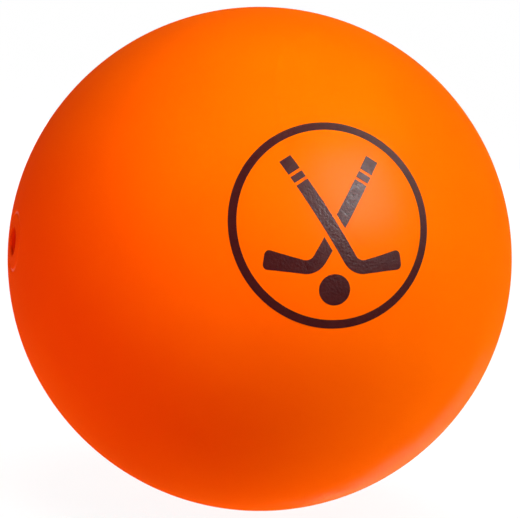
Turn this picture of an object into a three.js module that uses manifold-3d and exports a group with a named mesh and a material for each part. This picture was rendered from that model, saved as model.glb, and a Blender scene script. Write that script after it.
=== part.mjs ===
// Street hockey ball: a one-piece soft vinyl shell, dosed with damping liquid through a neck at one
// pole and closed there by a cemented push-in plug. Millimetres, +Z up, origin at the ball's centre,
// plug on the -X pole, liquid settled towards -Z.
import * as THREE from "three";
import { mergeVertices } from "three/addons/utils/BufferGeometryUtils.js";
import Module from "manifold-3d";

// Shell
const BALL_DIAMETER = 66;
const SHELL_WALL = 3.2;

// Neck that the vinyl forms round the mould's core pin, standing into the cavity
const NECK_WALL = 1.7;
const NECK_STRAIGHT_LENGTH = 1;
const NECK_ROOT_FILLET = 1.6;
const NECK_LIP_FILLET = 0.6;

// Fill plug: a flush domed head with a needle funnel, a stem and a barbed foot
const HEAD_DIAMETER = 7.2;
const HEAD_THICKNESS = 1.3;
const HEAD_EDGE_FILLET = 0.25;
const STEM_DIAMETER = 4.2;
const FOOT_OVERHANG = 0.8;
const FOOT_LENGTH = 2.8;
const FOOT_NOSE_RADIUS = 0.9;
const FUNNEL_DIAMETER = 3.4;
const FUNNEL_DEPTH = 1.5;
const FUNNEL_EDGE_FILLET = 0.3;
const NEEDLE_DIAMETER = 1.2;
const NEEDLE_DEPTH = 4.5;

// Solvent cement that beds the head in its seat
const CEMENT_THICKNESS = 0.3;
const CEMENT_GAP = 0.2;
const CEMENT_SINK = 0.35;
const SEAT_EDGE_FILLET = 0.25;

// Running clearances
const STEM_CLEARANCE = 0.2;
const FOOT_CLEARANCE = 0.3;
const LIQUID_CLEARANCE = 0.3;

// Settled pool, which is a charge of 18 ml at this depth, and its rise where it wets the wall
const POOL_DEPTH = 15.3;
const MENISCUS_WIDTH = 3;
const MENISCUS_RISE = 1.3;

// Facets: steps round an axis, and steps along each kind of arc
const TURN_STEPS = 64;
const HALF_BALL_STEPS = 16;
const CAVITY_STEPS = 20;
const POOL_STEPS = 12;
const FILLET_STEPS = 3;

// Vertices closer than this are one
const MERGE_DISTANCE = 1e-4;

const point = (radius, height) => new THREE.Vector2(radius, height);
const heightOnSphere = (sphereRadius, radius) => Math.sqrt(sphereRadius ** 2 - radius ** 2);

// A fillet that touches, from inside, a sphere about the ball's centre, at a distance from the axis.
function filletOnSphere(sphereRadius, filletRadius, distance) {
  const centre = point(distance, heightOnSphere(sphereRadius - filletRadius, distance));
  return { centre, angle: centre.angle() };
}

// Every piece on the plug's axis is drawn as a profile of (radius, height), with the height measured
// from the ball's centre towards the plug.
const outerRadius = BALL_DIAMETER / 2;
const innerRadius = outerRadius - SHELL_WALL;
const headRadius = HEAD_DIAMETER / 2;
const seatRadius = headRadius + CEMENT_GAP;
const stemRadius = STEM_DIAMETER / 2;
const boreRadius = stemRadius + STEM_CLEARANCE;
const neckRadius = boreRadius + NECK_WALL;
const headUnderside = outerRadius - HEAD_THICKNESS;
const seatFloor = headUnderside - CEMENT_THICKNESS;
const neckRoot = filletOnSphere(innerRadius, NECK_ROOT_FILLET, neckRadius + NECK_ROOT_FILLET);
const neckLip = neckRoot.centre.y - NECK_STRAIGHT_LENGTH - NECK_LIP_FILLET;
const footTop = neckLip - FOOT_CLEARANCE;
const footTip = footTop - FOOT_LENGTH;

// Points of an arc about a centre, with angles from the radius axis towards the height axis.
function arc(centre, radius, from, to, steps) {
  return Array.from({ length: steps + 1 }, (_, step) => {
    const angle = THREE.MathUtils.lerp(from, to, step / steps);
    return point(centre.x + radius * Math.cos(angle), centre.y + radius * Math.sin(angle));
  });
}

const RIGHT = 0;
const LEFT = Math.PI;
const DOWN = -Math.PI / 2;
const ballCentre = point(0, 0);

// Once round the wall: outside from the far pole, down the seat and bore, and back along the cavity.
function shellProfile() {
  const rim = filletOnSphere(outerRadius, SEAT_EDGE_FILLET, seatRadius + SEAT_EDGE_FILLET);
  const lip = point(neckRadius - NECK_LIP_FILLET, neckLip + NECK_LIP_FILLET);
  return [
    ...arc(ballCentre, outerRadius, DOWN, RIGHT, HALF_BALL_STEPS),
    ...arc(ballCentre, outerRadius, RIGHT, rim.angle, HALF_BALL_STEPS).slice(1),
    ...arc(rim.centre, SEAT_EDGE_FILLET, rim.angle, LEFT, FILLET_STEPS).slice(1),
    point(seatRadius, seatFloor),
    point(boreRadius, seatFloor),
    point(boreRadius, neckLip),
    ...arc(lip, NECK_LIP_FILLET, DOWN, RIGHT, FILLET_STEPS),
    ...arc(neckRoot.centre, NECK_ROOT_FILLET, LEFT, neckRoot.angle, FILLET_STEPS),
    ...arc(ballCentre, innerRadius, neckRoot.angle, DOWN, CAVITY_STEPS).slice(1),
  ];
}

// From the foot's nose up over the barb, along the stem and head, and down the funnel's needle hole.
// The foot's cone runs from the barb's edge to the nose, which it touches as a tangent.
function plugProfile() {
  const noseCentre = point(0, footTip + FOOT_NOSE_RADIUS);
  const barb = point(stemRadius + FOOT_OVERHANG, footTop);
  const toBarb = barb.clone().sub(noseCentre);
  const noseEnd = Math.atan2(toBarb.y, toBarb.x) - Math.acos(FOOT_NOSE_RADIUS / toBarb.length());
  const edge = filletOnSphere(outerRadius, HEAD_EDGE_FILLET, headRadius - HEAD_EDGE_FILLET);
  const funnelRadius = FUNNEL_DIAMETER / 2;
  const mouth = filletOnSphere(outerRadius, FUNNEL_EDGE_FILLET, funnelRadius + FUNNEL_EDGE_FILLET);
  const funnelFloor = outerRadius - FUNNEL_DEPTH;
  const needleRadius = NEEDLE_DIAMETER / 2;
  return [
    ...arc(noseCentre, FOOT_NOSE_RADIUS, DOWN, noseEnd, FILLET_STEPS),
    barb,
    point(stemRadius, footTop),
    point(stemRadius, headUnderside),
    point(headRadius, headUnderside),
    ...arc(edge.centre, HEAD_EDGE_FILLET, RIGHT, edge.angle, FILLET_STEPS),
    ...arc(mouth.centre, FUNNEL_EDGE_FILLET, mouth.angle, LEFT, FILLET_STEPS),
    point(needleRadius, funnelFloor),
    point(needleRadius, outerRadius - NEEDLE_DEPTH),
    point(0, outerRadius - NEEDLE_DEPTH),
  ];
}

// An L-section ring: a bed under the head, and a collar round it that stops below the surface.
function cementProfile() {
  const collarTop = heightOnSphere(outerRadius, seatRadius) - CEMENT_SINK;
  return [
    point(boreRadius, seatFloor),
    point(seatRadius, seatFloor),
    point(seatRadius, collarTop),
    point(headRadius, collarTop),
    point(headRadius, headUnderside),
    point(boreRadius, headUnderside),
    point(boreRadius, seatFloor),
  ];
}

// The pool is drawn about its own upright axis: the spherical bed, then the curved rise at the wall
// down to the level middle.
function liquidProfile() {
  const bedRadius = innerRadius - LIQUID_CLEARANCE;
  const level = POOL_DEPTH - bedRadius;
  const shore = level + MENISCUS_RISE;
  const shoreRadius = heightOnSphere(bedRadius, shore);
  const rise = new THREE.QuadraticBezierCurve(
    point(shoreRadius, shore),
    point(shoreRadius - MENISCUS_WIDTH / 2, level),
    point(shoreRadius - MENISCUS_WIDTH, level),
  );
  return [
    ...arc(ballCentre, bedRadius, DOWN, Math.asin(shore / bedRadius), POOL_STEPS),
    ...rise.getPoints(FILLET_STEPS).slice(1),
    point(0, level),
  ];
}

const lathe = (profile) => new THREE.LatheGeometry(profile, TURN_STEPS);

const wasm = await Module();
wasm.setup();

function toSolid(geometry) {
  const bare = geometry.clone();
  bare.deleteAttribute("normal");
  bare.deleteAttribute("uv");
  const merged = mergeVertices(bare, MERGE_DISTANCE);
  return new wasm.Manifold(
    new wasm.Mesh({
      numProp: 3,
      vertProperties: new Float32Array(merged.attributes.position.array),
      triVerts: new Uint32Array(merged.index.array),
    }),
  );
}

function toGeometry(solid) {
  const mesh = solid.getMesh();
  const geometry = new THREE.BufferGeometry();
  geometry.setAttribute("position", new THREE.BufferAttribute(mesh.vertProperties, 3));
  geometry.setIndex(new THREE.BufferAttribute(mesh.triVerts, 1));
  geometry.computeVertexNormals();
  return geometry;
}

// Turns from the lathe's own +Y axis to the plug's -X axis and to the pool's +Z axis.
const toPlugAxis = new THREE.Matrix4().makeRotationZ(Math.PI / 2);
const toUpright = new THREE.Matrix4().makeRotationX(Math.PI / 2);

// The pool lies clear of the neck and the plug's foot, which stand in its way only in a very full ball.
function liquidGeometry() {
  const keepOutRadius = neckRadius + NECK_ROOT_FILLET + LIQUID_CLEARANCE;
  const keepOutTip = footTip - LIQUID_CLEARANCE;
  const keepOut = lathe([
    point(0, keepOutTip),
    point(keepOutRadius, keepOutTip),
    point(keepOutRadius, outerRadius),
    point(0, outerRadius),
  ]);
  const pool = lathe(liquidProfile());
  pool.applyMatrix4(toUpright);
  keepOut.applyMatrix4(toPlugAxis);
  return toGeometry(toSolid(pool).subtract(toSolid(keepOut)));
}

const vinyl = new THREE.MeshStandardMaterial({ color: 0xff6a00, roughness: 0.5, metalness: 0 });
const plugVinyl = new THREE.MeshStandardMaterial({ color: 0xf04a00, roughness: 0.55, metalness: 0 });
const cement = new THREE.MeshStandardMaterial({ color: 0xc8641e, roughness: 0.3, metalness: 0 });
const liquid = new THREE.MeshStandardMaterial({
  color: 0xdfeef2,
  roughness: 0.05,
  metalness: 0,
  transparent: true,
  opacity: 0.5,
});

function namedMesh(name, geometry, material) {
  const mesh = new THREE.Mesh(geometry, material);
  mesh.name = name;
  return mesh;
}

const closure = new THREE.Group();
closure.applyMatrix4(toPlugAxis);
closure.add(
  namedMesh("shell", lathe(shellProfile()), vinyl),
  namedMesh("fill_plug", lathe(plugProfile()), plugVinyl),
  namedMesh("plug_cement", lathe(cementProfile()), cement),
);

const ball = new THREE.Group();
ball.add(closure, namedMesh("damping_liquid", liquidGeometry(), liquid));

export default ball;
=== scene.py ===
# %% [markdown]
# # A street hockey ball
# The ball is a hollow moulding of soft orange vinyl. A plug closes the hole through which a little
# liquid was poured in to take out the bounce, and a mark is printed on one side in dark ink.
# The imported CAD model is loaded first. It fixes every size and place, and each piece that is modelled
# below is fitted to it, in metres.

# %% Load the frame
import math

import bpy
from mathutils import Matrix, Vector


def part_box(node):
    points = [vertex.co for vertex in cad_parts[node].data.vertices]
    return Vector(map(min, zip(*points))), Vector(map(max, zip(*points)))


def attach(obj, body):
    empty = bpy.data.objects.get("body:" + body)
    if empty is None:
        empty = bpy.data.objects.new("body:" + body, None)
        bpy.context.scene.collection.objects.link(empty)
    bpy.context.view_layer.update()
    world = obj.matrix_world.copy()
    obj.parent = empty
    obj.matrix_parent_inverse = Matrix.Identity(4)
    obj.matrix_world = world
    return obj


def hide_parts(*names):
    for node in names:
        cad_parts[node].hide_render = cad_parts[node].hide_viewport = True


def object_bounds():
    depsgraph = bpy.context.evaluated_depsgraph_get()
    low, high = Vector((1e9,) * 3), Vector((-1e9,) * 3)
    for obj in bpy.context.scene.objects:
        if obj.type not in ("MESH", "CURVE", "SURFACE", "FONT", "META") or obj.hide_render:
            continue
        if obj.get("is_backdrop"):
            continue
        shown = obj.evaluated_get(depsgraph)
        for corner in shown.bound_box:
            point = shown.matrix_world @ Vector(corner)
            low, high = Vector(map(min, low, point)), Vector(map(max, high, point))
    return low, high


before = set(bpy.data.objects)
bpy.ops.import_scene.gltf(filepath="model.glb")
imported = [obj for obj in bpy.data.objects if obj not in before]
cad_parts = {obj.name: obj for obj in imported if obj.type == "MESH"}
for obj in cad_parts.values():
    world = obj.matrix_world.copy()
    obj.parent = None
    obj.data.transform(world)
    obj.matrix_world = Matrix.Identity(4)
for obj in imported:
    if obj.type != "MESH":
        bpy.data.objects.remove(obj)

cad_low, cad_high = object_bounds()
MM = 0.001
BALL_RADIUS = (cad_high.y - cad_low.y) / 2
print("ball radius", round(BALL_RADIUS / MM, 3), "mm")

# %% [markdown]
# ## Camera
# A ball looks the same from every side, so only the plug tells how it was turned in the photograph: it
# shows at the far left, a little above the middle. The camera stands ten radii away with a long lens,
# swings round until the plug comes into view at the left edge, and rolls a few degrees to lift it.
# The focal length could be found by eye, but it follows from the width of the picture and of the ball in
# it, so it is worked out here and stays right if the camera is moved. The ball stands a fraction of
# a pixel off the middle of the picture, which the lens shift takes up.

# %% Camera
PHOTO_WIDTH_PX = 520
PHOTO_HEIGHT_PX = 518
BALL_RADIUS_PX = 252.4
BALL_MIDDLE_X_PX = 259.7
BALL_MIDDLE_Y_PX = 258.9
CAMERA_AZIMUTH = math.radians(-16.1)
CAMERA_ELEVATION = math.radians(8)
CAMERA_ROLL = math.radians(6.4)
CAMERA_DISTANCE = 10 * BALL_RADIUS

level_right = Vector((math.cos(CAMERA_AZIMUTH), math.sin(CAMERA_AZIMUTH), 0))
to_camera = Vector((
    math.sin(CAMERA_AZIMUTH) * math.cos(CAMERA_ELEVATION),
    -math.cos(CAMERA_AZIMUTH) * math.cos(CAMERA_ELEVATION),
    math.sin(CAMERA_ELEVATION),
))
roll = Matrix.Rotation(CAMERA_ROLL, 3, to_camera)
view_right = roll @ level_right
view_up = to_camera.cross(view_right)


def axes_matrix(x_axis, y_axis, z_axis, origin):
    """The matrix that takes X, Y and Z to three axes at an origin."""
    turn = Matrix((x_axis, y_axis, z_axis)).transposed()
    return Matrix.Translation(origin) @ turn.to_4x4()


camera_data = bpy.data.cameras.new("camera")
camera = bpy.data.objects.new("camera", camera_data)
bpy.context.scene.collection.objects.link(camera)
bpy.context.scene.camera = camera
camera.matrix_world = axes_matrix(view_right, view_up, to_camera, to_camera * CAMERA_DISTANCE)
ball_half_angle = math.asin(BALL_RADIUS / CAMERA_DISTANCE)
half_picture = math.tan(ball_half_angle) * PHOTO_WIDTH_PX / 2 / BALL_RADIUS_PX
camera_data.lens = camera_data.sensor_width / 2 / half_picture
camera_data.shift_x = (PHOTO_WIDTH_PX / 2 - BALL_MIDDLE_X_PX) / PHOTO_WIDTH_PX
camera_data.shift_y = (BALL_MIDDLE_Y_PX - PHOTO_HEIGHT_PX / 2) / PHOTO_WIDTH_PX
print("lens", round(camera_data.lens, 1), "mm")

# %% [markdown]
# ## A pen for turned pieces
# The shell, the plug and its cement are all round about one axis, and the liquid is round about an
# upright one, so each is drawn as half of its outline and then turned, as on a lathe. A Screw modifier
# could turn it too. Here the pen works as one would by hand in edit mode: it extrudes the last vertex for
# a straight stretch, and spins it about a centre for an arc, so an outline reads as a list of moves.
# Points are given as a distance from the axis and a height along it.
# With no window open, Spin turns against the right-hand rule, so the pen gives it the opposite axis.

# %% Profile pen
MERGE_DISTANCE = 0.001 * MM
SHARP_ANGLE = math.radians(35)


class ProfilePen:
    """Draws half of a turned piece's outline, then turns it."""

    def __init__(self, name, along, outward, start):
        self.along = along
        self.outward = outward
        self.at = start
        bpy.ops.object.select_all(action="DESELECT")
        bpy.ops.mesh.primitive_plane_add(size=MM)
        self.piece = bpy.context.object
        self.piece.name = name
        bpy.ops.object.mode_set(mode="EDIT")
        bpy.ops.mesh.merge(type="CENTER")
        bpy.ops.transform.translate(value=self.place(start))

    def place(self, point):
        """The position in space of a (distance, height) point."""
        return self.outward * point[0] + self.along * point[1]

    def line(self, *point):
        """A straight stretch to a point."""
        step = self.place(point) - self.place(self.at)
        bpy.ops.mesh.extrude_region_move(TRANSFORM_OT_translate={"value": step})
        self.at = point

    def arc(self, centre, end_angle, steps):
        """An arc to a direction, which is counted from outward towards along."""
        across, up = self.at[0] - centre[0], self.at[1] - centre[1]
        radius = math.hypot(across, up)
        bpy.ops.mesh.spin(
            steps=steps,
            angle=end_angle - math.atan2(up, across),
            center=self.place(centre),
            axis=self.along.cross(self.outward),
        )
        self.at = (
            centre[0] + radius * math.cos(end_angle),
            centre[1] + radius * math.sin(end_angle),
        )

    def turn(self, steps):
        """Spins the outline once round, closes seams and poles, and smooths the round faces."""
        bpy.ops.mesh.select_all(action="SELECT")
        bpy.ops.mesh.spin(steps=steps, angle=math.tau, center=(0, 0, 0), axis=self.along)
        bpy.ops.mesh.select_all(action="SELECT")
        bpy.ops.mesh.remove_doubles(threshold=MERGE_DISTANCE)
        bpy.ops.mesh.normals_make_consistent(inside=False)
        bpy.ops.object.mode_set(mode="OBJECT")
        bpy.ops.object.shade_smooth_by_angle(angle=SHARP_ANGLE)
        low, high = (Vector(corner) for corner in (self.piece.bound_box[0], self.piece.bound_box[6]))
        size = [round(side / MM, 2) for side in high - low]
        print(self.piece.name, len(self.piece.data.polygons), "faces", size, "mm")
        return self.piece


def fillet_on_sphere(sphere_radius, fillet_radius, distance):
    """Centre and direction of a fillet that touches a sphere from inside, at a distance from the axis."""
    height = math.sqrt((sphere_radius - fillet_radius) ** 2 - distance ** 2)
    return (distance, height), math.atan2(height, distance)


RIGHT, UP, LEFT, DOWN = 0, math.pi / 2, math.pi, -math.pi / 2
BALL_CENTRE = (0, 0)
PLUG_AXIS = Vector((-1, 0, 0))
ABOVE = Vector((0, 0, 1))
FILLET_STEPS = 8
print("pen ready")

# %% [markdown]
# ## Shell
# The wall is about three millimetres thick. At the plug it has a stepped seat for the head, and a neck
# that stands into the hollow, where the vinyl has flowed round the mould's core pin. A sphere with a hole
# cut by a Boolean would do at a glance, but the cut would leave a ragged edge where the light is meant to
# run round it. One turned outline gives a clean rounded edge: it starts at the far pole, runs round the
# outside to the seat, goes down the bore, and comes back along the hollow.
# The printed ink lies on the vinyl, so the vinyl is smaller than the CAD ball by the ink's thickness.

# %% Shell
INK_THICKNESS = 0.03 * MM
SHELL_WALL = 3.2 * MM
SEAT_EDGE_FILLET = 0.25 * MM
BORE_RADIUS = 2.3 * MM
NECK_WALL = 1.7 * MM
NECK_STRAIGHT_LENGTH = 1 * MM
NECK_ROOT_FILLET = 1.6 * MM
NECK_LIP_FILLET = 0.6 * MM
BALL_STEPS = 180

cement_low, cement_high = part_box("plug_cement")
seat_radius = (cement_high.y - cement_low.y) / 2
seat_floor = -cement_high.x
outer_radius = BALL_RADIUS - INK_THICKNESS
inner_radius = BALL_RADIUS - SHELL_WALL
neck_radius = BORE_RADIUS + NECK_WALL
rim_centre, rim_angle = fillet_on_sphere(outer_radius, SEAT_EDGE_FILLET, seat_radius + SEAT_EDGE_FILLET)
root_centre, root_angle = fillet_on_sphere(inner_radius, NECK_ROOT_FILLET, neck_radius + NECK_ROOT_FILLET)
neck_lip = root_centre[1] - NECK_STRAIGHT_LENGTH - NECK_LIP_FILLET
lip_centre = (neck_radius - NECK_LIP_FILLET, neck_lip + NECK_LIP_FILLET)

pen = ProfilePen("ball_shell", PLUG_AXIS, ABOVE, (0, -outer_radius))
pen.arc(BALL_CENTRE, rim_angle, BALL_STEPS // 2)
pen.arc(rim_centre, LEFT, FILLET_STEPS)
pen.line(seat_radius, seat_floor)
pen.line(BORE_RADIUS, seat_floor)
pen.line(BORE_RADIUS, neck_lip)
pen.line(lip_centre[0], neck_lip)
pen.arc(lip_centre, RIGHT, FILLET_STEPS)
pen.line(neck_radius, root_centre[1])
pen.arc(root_centre, root_angle, FILLET_STEPS)
pen.arc(BALL_CENTRE, DOWN, BALL_STEPS // 3)
shell = pen.turn(BALL_STEPS)

# %% [markdown]
# ## Fill plug
# The plug is pushed in through the neck until its barbed foot snaps out behind the lip. Its head is domed
# to the ball's own curve. The funnel in the head shows as a dark dimple, and leads a filling needle to
# a blind hole. It could be stacked from cylinders and cones, but the real one is a single moulding, so the
# head, the stem and the foot are one outline here, with the barb's edge rounded.

# %% Fill plug
HEAD_THICKNESS = 1.3 * MM
HEAD_EDGE_FILLET = 0.25 * MM
STEM_RADIUS = 2.1 * MM
FOOT_RADIUS = 2.9 * MM
FOOT_CLEARANCE = 0.3 * MM
FOOT_NOSE_RADIUS = 0.9 * MM
BARB_FILLET = 0.15 * MM
FUNNEL_RADIUS = 1.7 * MM
FUNNEL_DEPTH = 1.5 * MM
FUNNEL_EDGE_FILLET = 0.3 * MM
NEEDLE_RADIUS = 0.6 * MM
NEEDLE_DEPTH = 4.5 * MM
PLUG_STEPS = 96

plug_low, plug_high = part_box("fill_plug")
head_radius = (plug_high.y - plug_low.y) / 2
head_underside = BALL_RADIUS - HEAD_THICKNESS
foot_tip = -plug_high.x
foot_top = neck_lip - FOOT_CLEARANCE
nose_centre = (0, foot_tip + FOOT_NOSE_RADIUS)
barb_centre = (FOOT_RADIUS - BARB_FILLET, foot_top - BARB_FILLET)
nose_to_barb = math.hypot(barb_centre[0], barb_centre[1] - nose_centre[1])
barb_direction = math.atan2(barb_centre[1] - nose_centre[1], barb_centre[0])
cone_side = barb_direction - math.acos((FOOT_NOSE_RADIUS - BARB_FILLET) / nose_to_barb)
edge_centre, edge_angle = fillet_on_sphere(outer_radius, HEAD_EDGE_FILLET, head_radius - HEAD_EDGE_FILLET)
mouth_centre, mouth_angle = fillet_on_sphere(
    outer_radius, FUNNEL_EDGE_FILLET, FUNNEL_RADIUS + FUNNEL_EDGE_FILLET
)

pen = ProfilePen("ball_plug", PLUG_AXIS, ABOVE, (0, foot_tip))
pen.arc(nose_centre, cone_side, FILLET_STEPS)
pen.line(
    barb_centre[0] + BARB_FILLET * math.cos(cone_side),
    barb_centre[1] + BARB_FILLET * math.sin(cone_side),
)
pen.arc(barb_centre, UP, FILLET_STEPS)
pen.line(STEM_RADIUS, foot_top)
pen.line(STEM_RADIUS, head_underside)
pen.line(head_radius, head_underside)
pen.line(head_radius, edge_centre[1])
pen.arc(edge_centre, edge_angle, FILLET_STEPS)
pen.arc(BALL_CENTRE, mouth_angle, FILLET_STEPS)
pen.arc(mouth_centre, LEFT, FILLET_STEPS)
pen.line(NEEDLE_RADIUS, BALL_RADIUS - FUNNEL_DEPTH)
pen.line(NEEDLE_RADIUS, BALL_RADIUS - NEEDLE_DEPTH)
pen.line(0, BALL_RADIUS - NEEDLE_DEPTH)
plug = pen.turn(PLUG_STEPS)

# %% [markdown]
# ## Cement
# Solvent cement beds the head in its seat. It fills the step under the head and stands up round it as
# a thin collar. It has crept part of the way up the rounded edges on both sides and set with a hollow
# face between them, which is what glints in a ring round the plug. A plain flat ring would lie in the
# groove's shade and never catch the light, so the outline follows the two rounded edges, about the same
# centres as the shell and the plug, and crosses from one to the other in a hollow arc.

# %% Cement
CREEP_ANGLE = math.radians(40)
HOLLOW_ANGLE = math.radians(35)

creep = Vector((math.cos(CREEP_ANGLE), math.sin(CREEP_ANGLE)))
seat_side = Vector(rim_centre) + SEAT_EDGE_FILLET * Vector((-creep.x, creep.y))
head_side = Vector(edge_centre) + HEAD_EDGE_FILLET * creep
across = head_side - seat_side
hollow_tilt = math.atan2(-across.y, -across.x)
hollow_up = Vector((-math.sin(hollow_tilt), math.cos(hollow_tilt)))
hollow_centre = (seat_side + head_side) / 2 + hollow_up * across.length / 2 / math.tan(HOLLOW_ANGLE)

pen = ProfilePen("ball_plug_cement", PLUG_AXIS, ABOVE, (BORE_RADIUS, seat_floor))
pen.line(seat_radius, seat_floor)
pen.line(seat_radius, rim_centre[1])
pen.arc(rim_centre, LEFT - CREEP_ANGLE, FILLET_STEPS)
pen.arc(hollow_centre, hollow_tilt + DOWN - HOLLOW_ANGLE, FILLET_STEPS)
pen.arc(edge_centre, RIGHT, FILLET_STEPS)
pen.line(head_radius, head_underside)
pen.line(BORE_RADIUS, head_underside)
pen.line(BORE_RADIUS, seat_floor)
cement = pen.turn(PLUG_STEPS)

# %% [markdown]
# ## Damping liquid
# The liquid lies at the bottom of the hollow and climbs a little where it wets the wall. A fluid
# simulation could let it settle, but the shape of settled liquid is known, so it is turned like the rest,
# about the upright axis. Its edge is an arc that leaves the level middle without a kink, so the radius of
# that arc follows from how wide the climb is and how high it goes.

# %% Damping liquid
LIQUID_CLEARANCE = 0.3 * MM
CLIMB_WIDTH = 3 * MM
CLIMB_RISE = 1.3 * MM
POOL_STEPS = 120

bed_radius = inner_radius - LIQUID_CLEARANCE
shore_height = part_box("damping_liquid")[1].z
shore_radius = math.sqrt(bed_radius ** 2 - shore_height ** 2)
climb_radius = (CLIMB_WIDTH ** 2 + CLIMB_RISE ** 2) / 2 / CLIMB_RISE
climb_centre = (shore_radius - CLIMB_WIDTH, shore_height - CLIMB_RISE + climb_radius)

pen = ProfilePen("ball_liquid", ABOVE, Vector((1, 0, 0)), (0, -bed_radius))
pen.arc(BALL_CENTRE, math.asin(shore_height / bed_radius), POOL_STEPS // 3)
pen.arc(climb_centre, DOWN, FILLET_STEPS)
pen.line(0, shore_height - CLIMB_RISE)
liquid = pen.turn(POOL_STEPS)

# %% [markdown]
# ## Printed mark
# The ink is a film a few hundredths of a millimetre thick, pressed on by a soft pad. The mark is a plain
# sporting one: two crossed sticks and a ball in a ring. It could be painted in the vinyl's material by a
# mask, but a film with its own mesh keeps a sharp edge at any distance, and takes the ink's own gloss.
# It is drawn flat first. A stick is a strip: an edge is extruded down the shaft, spun round the heel, and
# widened along the blade, whose toe is rounded by a bevel.

# %% One stick
SHAFT_TOP = Vector((-5.7, 8.2, 0)) * MM
SHAFT_WIDTH = 1.7 * MM
SHAFT_ANGLE = math.radians(-59)
SHAFT_LENGTH = 14.8 * MM
SHAFT_STEPS = 16
HEEL_RADIUS = 2 * MM
HEEL_TURN = math.radians(70)
HEEL_STEPS = 8
BLADE_LENGTH = 5 * MM
BLADE_STEPS = 6
BLADE_WIDENING = 1.075
TOE_ROUNDING = 0.7 * MM
TOE_STEPS = 6
OUT_OF_PRINT = Vector((0, 0, 1))


def flat_direction(angle):
    """A direction in the plane of the print."""
    return Vector((math.cos(angle), math.sin(angle), 0))


def lengthen(step, parts, widening=1.0):
    """Extrudes the selected edge in equal parts, and widens it by a factor at each."""
    for part in range(parts):
        bpy.ops.mesh.extrude_region_move(TRANSFORM_OT_translate={"value": step / parts})
        bpy.ops.transform.resize(value=(widening, widening, 1))


shaft_along = flat_direction(SHAFT_ANGLE)
shaft_across = flat_direction(SHAFT_ANGLE + math.pi / 2)
heel_centre = SHAFT_TOP + shaft_along * SHAFT_LENGTH + shaft_across * HEEL_RADIUS

bpy.ops.object.select_all(action="DESELECT")
bpy.ops.mesh.primitive_plane_add(size=MM)
stick = bpy.context.object
stick.name = "ink_stick"
bpy.ops.object.mode_set(mode="EDIT")
bpy.ops.mesh.merge(type="CENTER")
bpy.ops.transform.translate(value=SHAFT_TOP - shaft_across * SHAFT_WIDTH / 2)
bpy.ops.mesh.extrude_region_move(TRANSFORM_OT_translate={"value": shaft_across * SHAFT_WIDTH})
bpy.ops.mesh.select_all(action="SELECT")
lengthen(shaft_along * SHAFT_LENGTH, SHAFT_STEPS)
bpy.ops.mesh.spin(steps=HEEL_STEPS, angle=HEEL_TURN, center=heel_centre, axis=-OUT_OF_PRINT)
lengthen(flat_direction(SHAFT_ANGLE + HEEL_TURN) * BLADE_LENGTH, BLADE_STEPS, BLADE_WIDENING)
bpy.ops.mesh.bevel(offset=TOE_ROUNDING, segments=TOE_STEPS, affect="VERTICES")
bpy.ops.object.mode_set(mode="OBJECT")
print("stick", len(stick.data.polygons), "faces")

# %% [markdown]
# ### Gaps in the sticks
# Two narrow gaps across the grip stand for turns of tape, and the second stick is broken where it passes
# behind the first. The knife tool needs a window, so a gap is made by cutting the strip along both of its
# edges with Bisect, and deleting the faces that lie between. The second stick is a mirrored copy.

# %% Tape gaps, second stick and crossing
TAPE_GAP = 0.4 * MM
TAPE_PLACES = (2.3 * MM, 3.6 * MM)
CROSSING_GAP = 0.55 * MM


def select_faces(piece, chosen):
    """Selects only the chosen faces, and leaves the piece in edit mode."""
    bpy.context.view_layer.objects.active = piece
    bpy.ops.object.mode_set(mode="EDIT")
    bpy.ops.mesh.select_mode(type="FACE")
    bpy.ops.mesh.select_all(action="DESELECT")
    bpy.ops.object.mode_set(mode="OBJECT")
    for face in piece.data.polygons:
        face.select = chosen(face)
    bpy.ops.object.mode_set(mode="EDIT")


def cut_gap(strip, middle, across, width):
    """Takes a straight gap of a width out of a flat strip."""
    for edge in (middle - across * width / 2, middle + across * width / 2):
        select_faces(strip, lambda face: True)
        bpy.ops.mesh.bisect(plane_co=edge, plane_no=across)
    bpy.ops.object.mode_set(mode="OBJECT")
    select_faces(strip, lambda face: abs((face.center - middle).dot(across)) < width / 2)
    bpy.ops.mesh.delete(type="FACE")
    bpy.ops.object.mode_set(mode="OBJECT")


for place in TAPE_PLACES:
    cut_gap(stick, SHAFT_TOP + shaft_along * place, shaft_along, TAPE_GAP)

bpy.ops.object.select_all(action="DESELECT")
stick.select_set(True)
bpy.ops.object.duplicate()
far_stick = bpy.context.object
far_stick.name = "ink_far_stick"
bpy.ops.object.mode_set(mode="EDIT")
bpy.ops.mesh.select_all(action="SELECT")
bpy.ops.transform.resize(value=(-1, 1, 1), center_override=(0, 0, 0))
bpy.ops.object.mode_set(mode="OBJECT")
crossing = SHAFT_TOP + shaft_along * (-SHAFT_TOP.x / shaft_along.x)
cut_gap(far_stick, crossing, shaft_across, SHAFT_WIDTH + 2 * CROSSING_GAP)
print("sticks cross at", [round(side / MM, 2) for side in crossing], "mm")

# %% [markdown]
# ### Ring and ball of the mark
# The ring is a circle of edges, extruded and scaled out to its width. The small ball is a filled circle,
# with insets so that it has rows of vertices to follow the sphere. A curve with a bevel could make both,
# but would have to become a mesh before it could be joined to the sticks.

# %% Ring, ball and joined mark
RING_INNER_RADIUS = 12.3 * MM
RING_OUTER_RADIUS = 13.5 * MM
RING_STEPS = 180
MARK_BALL_RADIUS = 2 * MM
MARK_BALL_DROP = 8.3 * MM
MARK_BALL_STEPS = 64
MARK_BALL_INSETS = 3

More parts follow.
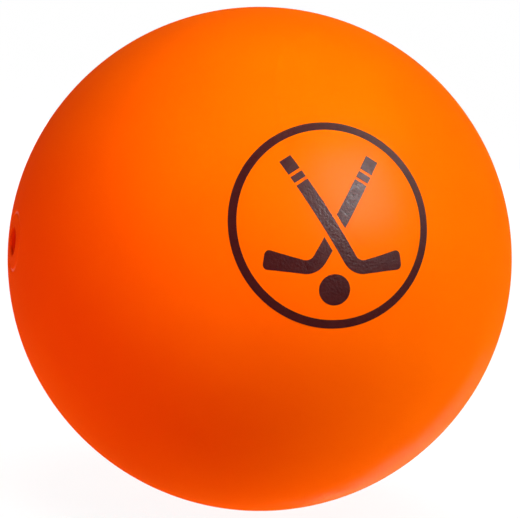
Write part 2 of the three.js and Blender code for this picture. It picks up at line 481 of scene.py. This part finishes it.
bpy.ops.object.select_all(action="DESELECT")
bpy.ops.mesh.primitive_circle_add(vertices=RING_STEPS, radius=RING_INNER_RADIUS)
mark = bpy.context.object
mark.name = "ball_print"
bpy.ops.object.mode_set(mode="EDIT")
bpy.ops.mesh.select_mode(type="EDGE")
bpy.ops.mesh.select_all(action="SELECT")
bpy.ops.mesh.extrude_region_move()
widening = RING_OUTER_RADIUS / RING_INNER_RADIUS
bpy.ops.transform.resize(value=(widening, widening, 1), center_override=(0, 0, 0))
bpy.ops.object.mode_set(mode="OBJECT")

bpy.ops.object.select_all(action="DESELECT")
bpy.ops.mesh.primitive_circle_add(
    vertices=MARK_BALL_STEPS,
    radius=MARK_BALL_RADIUS,
    fill_type="NGON",
    location=(0, -MARK_BALL_DROP, 0),
)
bpy.ops.object.mode_set(mode="EDIT")
bpy.ops.mesh.select_mode(type="FACE")
for inset in range(MARK_BALL_INSETS):
    bpy.ops.mesh.inset(thickness=MARK_BALL_RADIUS / (MARK_BALL_INSETS + 1))
bpy.ops.object.mode_set(mode="OBJECT")

for part in (stick, far_stick, mark):
    part.select_set(True)
bpy.context.view_layer.objects.active = mark
bpy.ops.object.join()
select_faces(mark, lambda face: face.normal.z < 0)
bpy.ops.mesh.flip_normals()
bpy.ops.object.mode_set(mode="OBJECT")
print("mark", len(mark.data.polygons), "flat faces")

# %% [markdown]
# ### Wrapping the mark onto the ball
# The pad that prints a ball is soft and takes its curve. The flat mark is laid on the plane that touches
# the ball in the middle of the print, a little to the right of the camera's line of sight and above it.
# Shrinkwrap could press it on, but a Cast modifier draws every vertex onto an exact sphere, so no facet
# of the shell shows through. Solidify then gives the film its thickness, with its underside sunk a little
# into the vinyl.

# %% Wrap the mark onto the ball
PRINT_RIGHT = 8.9 * MM
PRINT_UP = 4.4 * MM
INK_SINK = 0.02 * MM
INK_SUBDIVISIONS = 2

print_depth = math.sqrt(BALL_RADIUS ** 2 - PRINT_RIGHT ** 2 - PRINT_UP ** 2)
print_middle = view_right * PRINT_RIGHT + view_up * PRINT_UP + to_camera * print_depth
print_out = print_middle.normalized()
print_right = view_up.cross(print_out).normalized()
print_up = print_out.cross(print_right)
mark.matrix_world = axes_matrix(print_right, print_up, print_out, print_middle)
bpy.ops.object.select_all(action="DESELECT")
mark.select_set(True)
bpy.ops.object.transform_apply(location=True, rotation=True, scale=True)


def add_modifier(piece, kind, **settings):
    """Adds a modifier with its settings, to be applied later."""
    modifier = piece.modifiers.new(kind.lower(), kind)
    for setting, value in settings.items():
        setattr(modifier, setting, value)


add_modifier(
    mark, "SUBSURF", subdivision_type="SIMPLE", levels=INK_SUBDIVISIONS, render_levels=INK_SUBDIVISIONS
)
add_modifier(mark, "CAST", factor=1, use_radius_as_size=False, size=outer_radius - INK_SINK)
add_modifier(mark, "SOLIDIFY", thickness=INK_THICKNESS + INK_SINK, offset=1)
for modifier in list(mark.modifiers):
    bpy.ops.object.modifier_apply(modifier=modifier.name)
bpy.ops.object.shade_smooth_by_angle(angle=SHARP_ANGLE)
reach = [vertex.co.length / MM for vertex in mark.data.vertices]
print("ink from", round(min(reach), 3), "to", round(max(reach), 3), "mm from the centre")

# %% [markdown]
# ## In the CAD nodes' places
# Each piece now takes over from the plain CAD solid that it was fitted to, and rides on the same body, so
# that it moves with it. The ink has no solid of its own, so it only rides on the ball. The liquid is a
# body by itself: it stays level while the ball rolls round it.

# %% Put the pieces in the CAD nodes' places
for piece, body, node, slot in (
    (shell, "ball", "shell", "shell_vinyl"),
    (plug, "ball", "fill_plug", "plug_vinyl"),
    (cement, "ball", "plug_cement", "cement"),
    (liquid, "liquid", "damping_liquid", "liquid"),
):
    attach(piece, body)
    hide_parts(node)
    print(piece.name, "replaces", node, "on body", body)
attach(mark, "ball")
print(mark.name, "rides on body ball")

# %% [markdown]
# ## Finishes
# Each finish is one Principled shader, fed by noise on Object coordinates so that nothing repeats and no
# image is needed. Colour, roughness and normal vary over each surface, and the rest is set on the shader
# itself. The helpers below keep the node trees short: one makes a material, one a noise whose grains have
# a size in metres, and one spreads that noise over a range of values.

# %% Material and noise
NOISE_LOW = 0.3
NOISE_HIGH = 0.7


def new_finish(name, piece):
    """A material with one Principled shader, given to a piece."""
    material = bpy.data.materials.new(name)
    material.use_nodes = True
    piece.data.materials.clear()
    piece.data.materials.append(material)
    print("finish", name, "on", piece.name)
    return material.node_tree, material.node_tree.nodes["Principled BSDF"]


def grain(tree, size, detail=2.0):
    """Noise with grains of about a size, as a value from 0 to 1."""
    place = tree.nodes.new("ShaderNodeTexCoord")
    noise = tree.nodes.new("ShaderNodeTexNoise")
    noise.inputs["Scale"].default_value = 1 / size
    noise.inputs["Detail"].default_value = detail
    tree.links.new(place.outputs["Object"], noise.inputs["Vector"])
    return noise.outputs["Fac"]


def spread(tree, value, low, high):
    """Stretches the middle of a noise over a range."""
    stretch = tree.nodes.new("ShaderNodeMapRange")
    stretch.inputs["From Min"].default_value = NOISE_LOW
    stretch.inputs["From Max"].default_value = NOISE_HIGH
    stretch.inputs["To Min"].default_value = low
    stretch.inputs["To Max"].default_value = high
    tree.links.new(value, stretch.inputs["Value"])
    return stretch.outputs["Result"]


print("noise helpers ready")

# %% [markdown]
# ### Colours and bumps
# No moulding has quite the same colour all over, so a Mix node lets it drift between two near ones. A colour
# ramp would mix too, but it can't take a colour that comes from another node. Bumps can lie on top of other
# bumps, as fine grain does on orange peel. The last helper links what varies to the shader.

# %% Colours, bumps and links
def two_colours(tree, value, first, second):
    """Goes from one colour to another, each given or linked, as a value goes from 0 to 1."""
    mix = tree.nodes.new("ShaderNodeMix")
    mix.data_type = "RGBA"
    for socket, colour in (("A", first), ("B", second)):
        if isinstance(colour, tuple):
            mix.inputs[socket].default_value = (*colour, 1)
        else:
            tree.links.new(colour, mix.inputs[socket])
    tree.links.new(value, mix.inputs["Factor"])
    return mix.outputs["Result"]


def mottled(tree, size, first, second, detail=2.0):
    """Drifts between two colours in patches of about a size."""
    return two_colours(tree, spread(tree, grain(tree, size, detail), 0, 1), first, second)


def relief(tree, value, height, below=None):
    """Bumps of a height, on top of other bumps if there are any below."""
    bump = tree.nodes.new("ShaderNodeBump")
    bump.inputs["Distance"].default_value = height
    tree.links.new(value, bump.inputs["Height"])
    if below:
        tree.links.new(below, bump.inputs["Normal"])
    return bump.outputs["Normal"]


def dress(tree, shader, colour, roughness, normal):
    """Links what varies over a surface to its shader."""
    tree.links.new(colour, shader.inputs["Base Color"])
    tree.links.new(roughness, shader.inputs["Roughness"])
    tree.links.new(normal, shader.inputs["Normal"])


print("finish helpers ready")

# %% [markdown]
# ### Vinyl
# The ball is dyed through with a bright orange pigment and has a dry, silky skin, on which a lamp leaves no
# more than a faint pale patch. The specular level could be turned down for that, but a shader's gloss always
# grows towards the edge, and the white surroundings would bleach the ball's outline. So that level is none,
# and a coat of very little weight makes the patch, because the weight holds back the edge as well.
# The colour drifts a little, as in any batch of plastisol. The mould leaves a faint orange peel a couple of
# millimetres across, with a much finer grain on top.

# %% Vinyl
SKIN_COAT = 0.0175
SKIN_COAT_ROUGHNESS = 0.28
SKIN_ROUGHNESS = (0.5, 0.58)
VINYL_ORANGE = (0.98, 0.139, 0)
VINYL_BRIGHT_ORANGE = (1, 0.152, 0)
VINYL_PATCH = 14 * MM
SHEEN_PATCH = 1.5 * MM
PEEL_SIZE = 2.2 * MM
PEEL_HEIGHT = 0.006 * MM
SKIN_GRAIN = 0.2 * MM
SKIN_GRAIN_HEIGHT = 0.002 * MM


def silky_skin(shader):
    """Gives a vinyl shader no gloss but that of a thin coat."""
    shader.inputs["Specular IOR Level"].default_value = 0
    shader.inputs["Coat Weight"].default_value = SKIN_COAT
    shader.inputs["Coat Roughness"].default_value = SKIN_COAT_ROUGHNESS


tree, vinyl = new_finish("satin_vinyl", shell)
peel = relief(tree, grain(tree, PEEL_SIZE), PEEL_HEIGHT)
dress(
    tree,
    vinyl,
    colour=mottled(tree, VINYL_PATCH, VINYL_ORANGE, VINYL_BRIGHT_ORANGE),
    roughness=spread(tree, grain(tree, SHEEN_PATCH), *SKIN_ROUGHNESS),
    normal=relief(tree, grain(tree, SKIN_GRAIN), SKIN_GRAIN_HEIGHT, below=peel),
)
silky_skin(vinyl)

# %% [markdown]
# ### Plug
# The plug is moulded from the same vinyl, so its head can hardly be told from the shell. Inside the
# funnel the light is trapped and comes out a deep red. Bounced light alone gives too little of that on so
# small a dimple, so that shade is painted: the colour turns to a dark painted red by the distance from the
# plug's axis, with a soft step at the funnel's edge. The plug lies along X, so a position with its X part
# set to zero has that distance as its length.

# %% Plug
# The funnel's dark red is painted shade, standing for the light trapped in the dimple.
FUNNEL_FADE_IN = 0.3 * MM
FUNNEL_FADE_OUT = 0.5 * MM
FUNNEL_PAINTED_SHADE = (0.7, 0.032, 0)
PLUG_ORANGE = (0.97, 0.135, 0)
PLUG_BRIGHT_ORANGE = (1, 0.15, 0)
PLUG_PATCH = 2 * MM
PLUG_SHEEN_PATCH = 0.5 * MM
PLUG_GRAIN = 0.25 * MM
PLUG_GRAIN_HEIGHT = 0.003 * MM

tree, plug_vinyl = new_finish("plug_vinyl", plug)
place = tree.nodes.new("ShaderNodeTexCoord")
off_axis = tree.nodes.new("ShaderNodeVectorMath")
off_axis.operation = "MULTIPLY"
off_axis.inputs[1].default_value = (0, 1, 1)
tree.links.new(place.outputs["Object"], off_axis.inputs[0])
distance = tree.nodes.new("ShaderNodeVectorMath")
distance.operation = "LENGTH"
tree.links.new(off_axis.outputs["Vector"], distance.inputs[0])
# Mask of the painted shade: 0 inside the funnel, rising to 1 on the head.
outside = tree.nodes.new("ShaderNodeMapRange")
outside.interpolation_type = "SMOOTHSTEP"
outside.inputs["From Min"].default_value = FUNNEL_RADIUS - FUNNEL_FADE_IN
outside.inputs["From Max"].default_value = FUNNEL_RADIUS + FUNNEL_FADE_OUT
tree.links.new(distance.outputs["Value"], outside.inputs["Value"])

head_colour = mottled(tree, PLUG_PATCH, PLUG_ORANGE, PLUG_BRIGHT_ORANGE)
# The funnel gets the painted shade, and the head the vinyl's own orange.
dress(
    tree,
    plug_vinyl,
    colour=two_colours(tree, outside.outputs["Result"], FUNNEL_PAINTED_SHADE, head_colour),
    roughness=spread(tree, grain(tree, PLUG_SHEEN_PATCH), *SKIN_ROUGHNESS),
    normal=relief(tree, grain(tree, PLUG_GRAIN), PLUG_GRAIN_HEIGHT),
)
silky_skin(plug_vinyl)

# %% [markdown]
# ### Dried cement
# Cement is vinyl dissolved in a solvent, so it dries to nearly the same orange, but with a skin that is
# smoother and a little uneven. Its colour is set a little paler than the vinyl's, which is partly painted
# light: it lightens the ring a little and warms its glints. A lower roughness and a stronger specular level
# than the vinyl's give the small glints at the top and bottom of the ring, an orange tint warms them, and
# coarse bumps break them up.

# %% Dried cement
# Both oranges are the cement's own colour, made a little paler than the vinyl's with some painted light.
CEMENT_ORANGE_AND_PAINTED_LIGHT = (1, 0.16, 0.004)
CEMENT_PALE_ORANGE_AND_PAINTED_LIGHT = (1, 0.2, 0.01)
CEMENT_PATCH = 0.8 * MM
CEMENT_ROUGHNESS = (0.25, 0.4)
CEMENT_SHEEN_PATCH = 0.4 * MM
CEMENT_BUMP = 0.5 * MM
CEMENT_BUMP_HEIGHT = 0.02 * MM
CEMENT_SPECULAR = 0.012
GLINT_ORANGE = (1, 0.5, 0.2, 1)

tree, dried_cement = new_finish("dried_cement", cement)
dress(
    tree,
    dried_cement,
    colour=mottled(tree, CEMENT_PATCH, CEMENT_ORANGE_AND_PAINTED_LIGHT, CEMENT_PALE_ORANGE_AND_PAINTED_LIGHT),
    roughness=spread(tree, grain(tree, CEMENT_SHEEN_PATCH), *CEMENT_ROUGHNESS),
    normal=relief(tree, grain(tree, CEMENT_BUMP), CEMENT_BUMP_HEIGHT),
)
dried_cement.inputs["Specular IOR Level"].default_value = CEMENT_SPECULAR
dried_cement.inputs["Specular Tint"].default_value = GLINT_ORANGE

# %% [markdown]
# ### Clear liquid
# The liquid is sealed in and never seen from outside, but the piece is still worth a right finish. It
# is clear and watery: full transmission with an index of refraction near that of water, a faint tint, and
# the slightest swell on its surface.

# %% Clear liquid
LIQUID_TINT = (0.8, 0.9, 0.92)
LIQUID_PALE_TINT = (0.9, 0.96, 0.97)
LIQUID_PATCH = 9 * MM
LIQUID_ROUGHNESS = (0.01, 0.05)
LIQUID_SHEEN_PATCH = 4 * MM
SWELL_SIZE = 6 * MM
SWELL_HEIGHT = 0.04 * MM
LIQUID_IOR = 1.34

tree, clear_liquid = new_finish("clear_liquid", liquid)
dress(
    tree,
    clear_liquid,
    colour=mottled(tree, LIQUID_PATCH, LIQUID_TINT, LIQUID_PALE_TINT),
    roughness=spread(tree, grain(tree, LIQUID_SHEEN_PATCH), *LIQUID_ROUGHNESS),
    normal=relief(tree, grain(tree, SWELL_SIZE), SWELL_HEIGHT),
)
clear_liquid.inputs["Transmission Weight"].default_value = 1
clear_liquid.inputs["IOR"].default_value = LIQUID_IOR

# %% [markdown]
# ### Ink
# The ink is a dark brownish red that looks black where no light falls on it. It is glossier than the vinyl
# and full of fine pigment grains, so the main light spreads on it as a grey sheen that sparkles. One grain
# size drives both the roughness and the bump, because each grain both scatters and tilts the light. The
# colour is mottled at a larger scale, where the pad left more ink or less.

# %% Ink
INK_MAROON = (0.036, 0.0035, 0.004)
INK_BROWN = (0.048, 0.0055, 0.005)
INK_PATCH = 0.9 * MM
INK_PATCH_DETAIL = 4
INK_ROUGHNESS = (0.25, 0.55)
INK_GRAIN = 0.28 * MM
INK_GRAIN_HEIGHT = 0.055 * MM
INK_SPECULAR = 0.05

tree, ink = new_finish("print_ink", mark)
dress(
    tree,
    ink,
    colour=mottled(tree, INK_PATCH, INK_MAROON, INK_BROWN, INK_PATCH_DETAIL),
    roughness=spread(tree, grain(tree, INK_GRAIN), *INK_ROUGHNESS),
    normal=relief(tree, grain(tree, INK_GRAIN), INK_GRAIN_HEIGHT),
)
ink.inputs["Specular IOR Level"].default_value = INK_SPECULAR

# %% [markdown]
# ## Floor
# The ball was photographed on pure white, and rests on a sheet of paper that is far wider than the picture.
# The sheet casts no shadow itself, so that lamps can shine up through it as on a light table.

# %% Floor
FLOOR_SIZE = 6

bpy.ops.object.select_all(action="DESELECT")
bpy.ops.mesh.primitive_plane_add(size=FLOOR_SIZE, location=(0, 0, cad_low.z))
floor = bpy.context.object
floor.name = "floor"
floor.visible_shadow = False
floor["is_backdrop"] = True
print("floor", round(cad_low.z / MM, 2), "mm from the centre")

# %% [markdown]
# ### Paper
# Paper that is truly white would throw so much light up at the ball that its underside would lose its
# shape. Light Path tells rays apart: what the camera, a reflection or a clear piece sees of the paper is
# almost all white emission, and the rest still takes the ball's shadow. For all other rays the paper is
# dark grey.

# %% Paper
FLOOR_SEEN_WHITE = 0.93
PAPER_GREY = (0.12, 0.12, 0.12)
PAPER_SEEN = (0.95, 0.95, 0.95)


def maths(tree, operation, first, second):
    """A Math node of a link and either another link or a number."""
    node = tree.nodes.new("ShaderNodeMath")
    node.operation = operation
    tree.links.new(first, node.inputs[0])
    if isinstance(second, float):
        node.inputs[1].default_value = second
    else:
        tree.links.new(second, node.inputs[1])
    return node.outputs[0]


def seen_rays(tree):
    """1 for rays that see the studio, straight or by way of gloss or glass, and 0 for all others."""
    rays = tree.nodes.new("ShaderNodeLightPath")
    mirrored = maths(tree, "MAXIMUM", rays.outputs["Is Glossy Ray"], rays.outputs["Is Transmission Ray"])
    return maths(tree, "MAXIMUM", rays.outputs["Is Camera Ray"], mirrored)


floor_paper = bpy.data.materials.new("floor_paper")
floor_paper.use_nodes = True
floor.data.materials.append(floor_paper)
tree = floor_paper.node_tree
tree.nodes.clear()
seen = seen_rays(tree)
paper = tree.nodes.new("ShaderNodeBsdfDiffuse")
tree.links.new(two_colours(tree, seen, PAPER_GREY, PAPER_SEEN), paper.inputs["Color"])
white = tree.nodes.new("ShaderNodeEmission")
paper_or_white = tree.nodes.new("ShaderNodeMixShader")
tree.links.new(maths(tree, "MULTIPLY", seen, FLOOR_SEEN_WHITE), paper_or_white.inputs["Fac"])
tree.links.new(paper.outputs[0], paper_or_white.inputs[1])
tree.links.new(white.outputs[0], paper_or_white.inputs[2])
floor_output = tree.nodes.new("ShaderNodeOutputMaterial")
tree.links.new(paper_or_white.outputs[0], floor_output.inputs["Surface"])
print("paper seen", round(100 * FLOOR_SEEN_WHITE), "percent as plain white")

# %% [markdown]
# ## Sky and floor lamp
# The sky is seen as white, like the floor, so that no horizon shows from a low camera. For all other rays
# it is very dim, so that the lamps alone shape the ball. A broad sun lights the floor for its shadow, with
# a strength of pi, which lights white paper to white. Light linking keeps it off the ball, where it would
# flatten the shading.

# %% Sky and floor lamp
SKY_STRENGTH = 0.03
FLOOR_LAMP_STRENGTH = math.pi
FLOOR_LAMP_WIDTH = math.radians(40)

world = bpy.data.worlds.new("studio")
bpy.context.scene.world = world
world.use_nodes = True
tree = world.node_tree
sky = tree.nodes["Background"]
sky.inputs["Color"].default_value = (1, 1, 1, 1)
tree.links.new(maths(tree, "MAXIMUM", seen_rays(tree), SKY_STRENGTH), sky.inputs["Strength"])

floor_only = bpy.data.collections.new("floor_only")
floor_only.objects.link(floor)
floor_lamp_data = bpy.data.lights.new("floor_lamp", "SUN")
floor_lamp_data.energy = FLOOR_LAMP_STRENGTH
floor_lamp_data.angle = FLOOR_LAMP_WIDTH
floor_lamp = bpy.data.objects.new("floor_lamp", floor_lamp_data)
bpy.context.scene.collection.objects.link(floor_lamp)
floor_lamp.light_linking.receiver_collection = floor_only
print("floor lamp", round(math.degrees(FLOOR_LAMP_WIDTH)), "degrees wide")

# %% [markdown]
# ## Lamps
# The photograph shows a bright upper right, a dim red left side, and a pale rim at the lower right. A
# softbox is placed by how far it stands to the right, above and in front of the ball, as the camera sees
# it, and its level is how bright it makes a white surface that faces it, so no power has to be guessed:
# a flat lamp's level at a distance d is its power divided by the square of pi times d.
# - The key and the overhead lamp light the front. A small lamp that acts on gloss alone gives the ink its
#   sheen, and the vinyl a pale patch round it.
# - Lamps below and behind light the lower rim. One of them acts on gloss alone and makes the pale edge.
# - The pigment glows in its own shade, which a plain shader can't do. Two orange cards at the left give
#   that red.
# - Weaker lamps behind keep the far side readable when the ball is seen from there.
#
# Multiple importance sampling is off, because it would lose light of the lamps under the floor.

# %% Lamps
ORANGE_LIGHT = (1, 0.04, 0.02)
WARM_WHITE = (1, 0.97, 0.8)


def softbox(name, direction, distance, size, level, colour=(1, 1, 1), matt=True, gloss=True):
    """A square lamp that faces the ball and lights it to a level, where 1 shows white as white."""
    lamp_data = bpy.data.lights.new(name, "AREA")
    lamp_data.size = size
    lamp_data.energy = level * (math.pi * distance) ** 2
    lamp_data.color = colour
    lamp_data.cycles.use_multiple_importance_sampling = False
    lamp = bpy.data.objects.new(name, lamp_data)
    bpy.context.scene.collection.objects.link(lamp)
    right, up, front = direction
    from_ball = (view_right * right + view_up * up + to_camera * front).normalized()
    lamp.location = from_ball * distance
    lamp.rotation_euler = from_ball.to_track_quat("Z", "Y").to_euler()
    lamp.visible_camera = False
    lamp.visible_diffuse = matt
    lamp.visible_glossy = gloss
    print("lamp", name, "level", level)


softbox("key", (0.56, 0.54, 0.63), distance=0.15, size=0.1, level=0.61, gloss=False)
softbox("key_gloss", (0.62, 0.445, 0.645), distance=0.2, size=0.1, level=6.4, matt=False)
softbox("overhead", (0.1, 0.5, 0.86), distance=0.1, size=0.1, level=0.6, gloss=False)
softbox("rim_right", (0.7, -0.6, -0.4), distance=0.3, size=0.2, level=1.18, gloss=False)
softbox(
    "rim_gloss", (0.33, -0.415, -0.85), distance=0.3, size=0.14, level=1.0, colour=WARM_WHITE, matt=False
)
softbox("rim_left", (-0.4, -0.7, -0.6), distance=0.3, size=0.2, level=0.52, gloss=False)
softbox(
    "orange_card", (-0.8, 0.5, 0.3), distance=0.4, size=0.3, level=0.27, colour=ORANGE_LIGHT, gloss=False
)
softbox("low_orange_card", (-0.5, -0.6, 0.6), distance=0.4, size=0.3, level=0.43, colour=ORANGE_LIGHT)
softbox("back", (0, 0.3, -0.95), distance=0.5, size=0.3, level=0.7, gloss=False)
softbox("back_top", (0, 0.85, -0.5), distance=0.5, size=0.3, level=0.18, gloss=False)
softbox("back_left", (-0.75, 0.3, -0.6), distance=0.5, size=0.3, level=0.08, gloss=False)

# %% [markdown]
# ## Size and finish
# Both boxes, the CAD model's and the visual model's, are printed to be compared. The visual model must
# not outgrow the CAD model. The view transform is Standard, so that colours are shown as they were mixed.

# %% Size and finish
low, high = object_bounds()
for label, box_low, box_high in (("CAD", cad_low, cad_high), ("visual", low, high)):
    print(label, "box", [round(side / MM, 3) for side in box_high - box_low], "mm")
bpy.context.scene.view_settings.view_transform = "Standard"
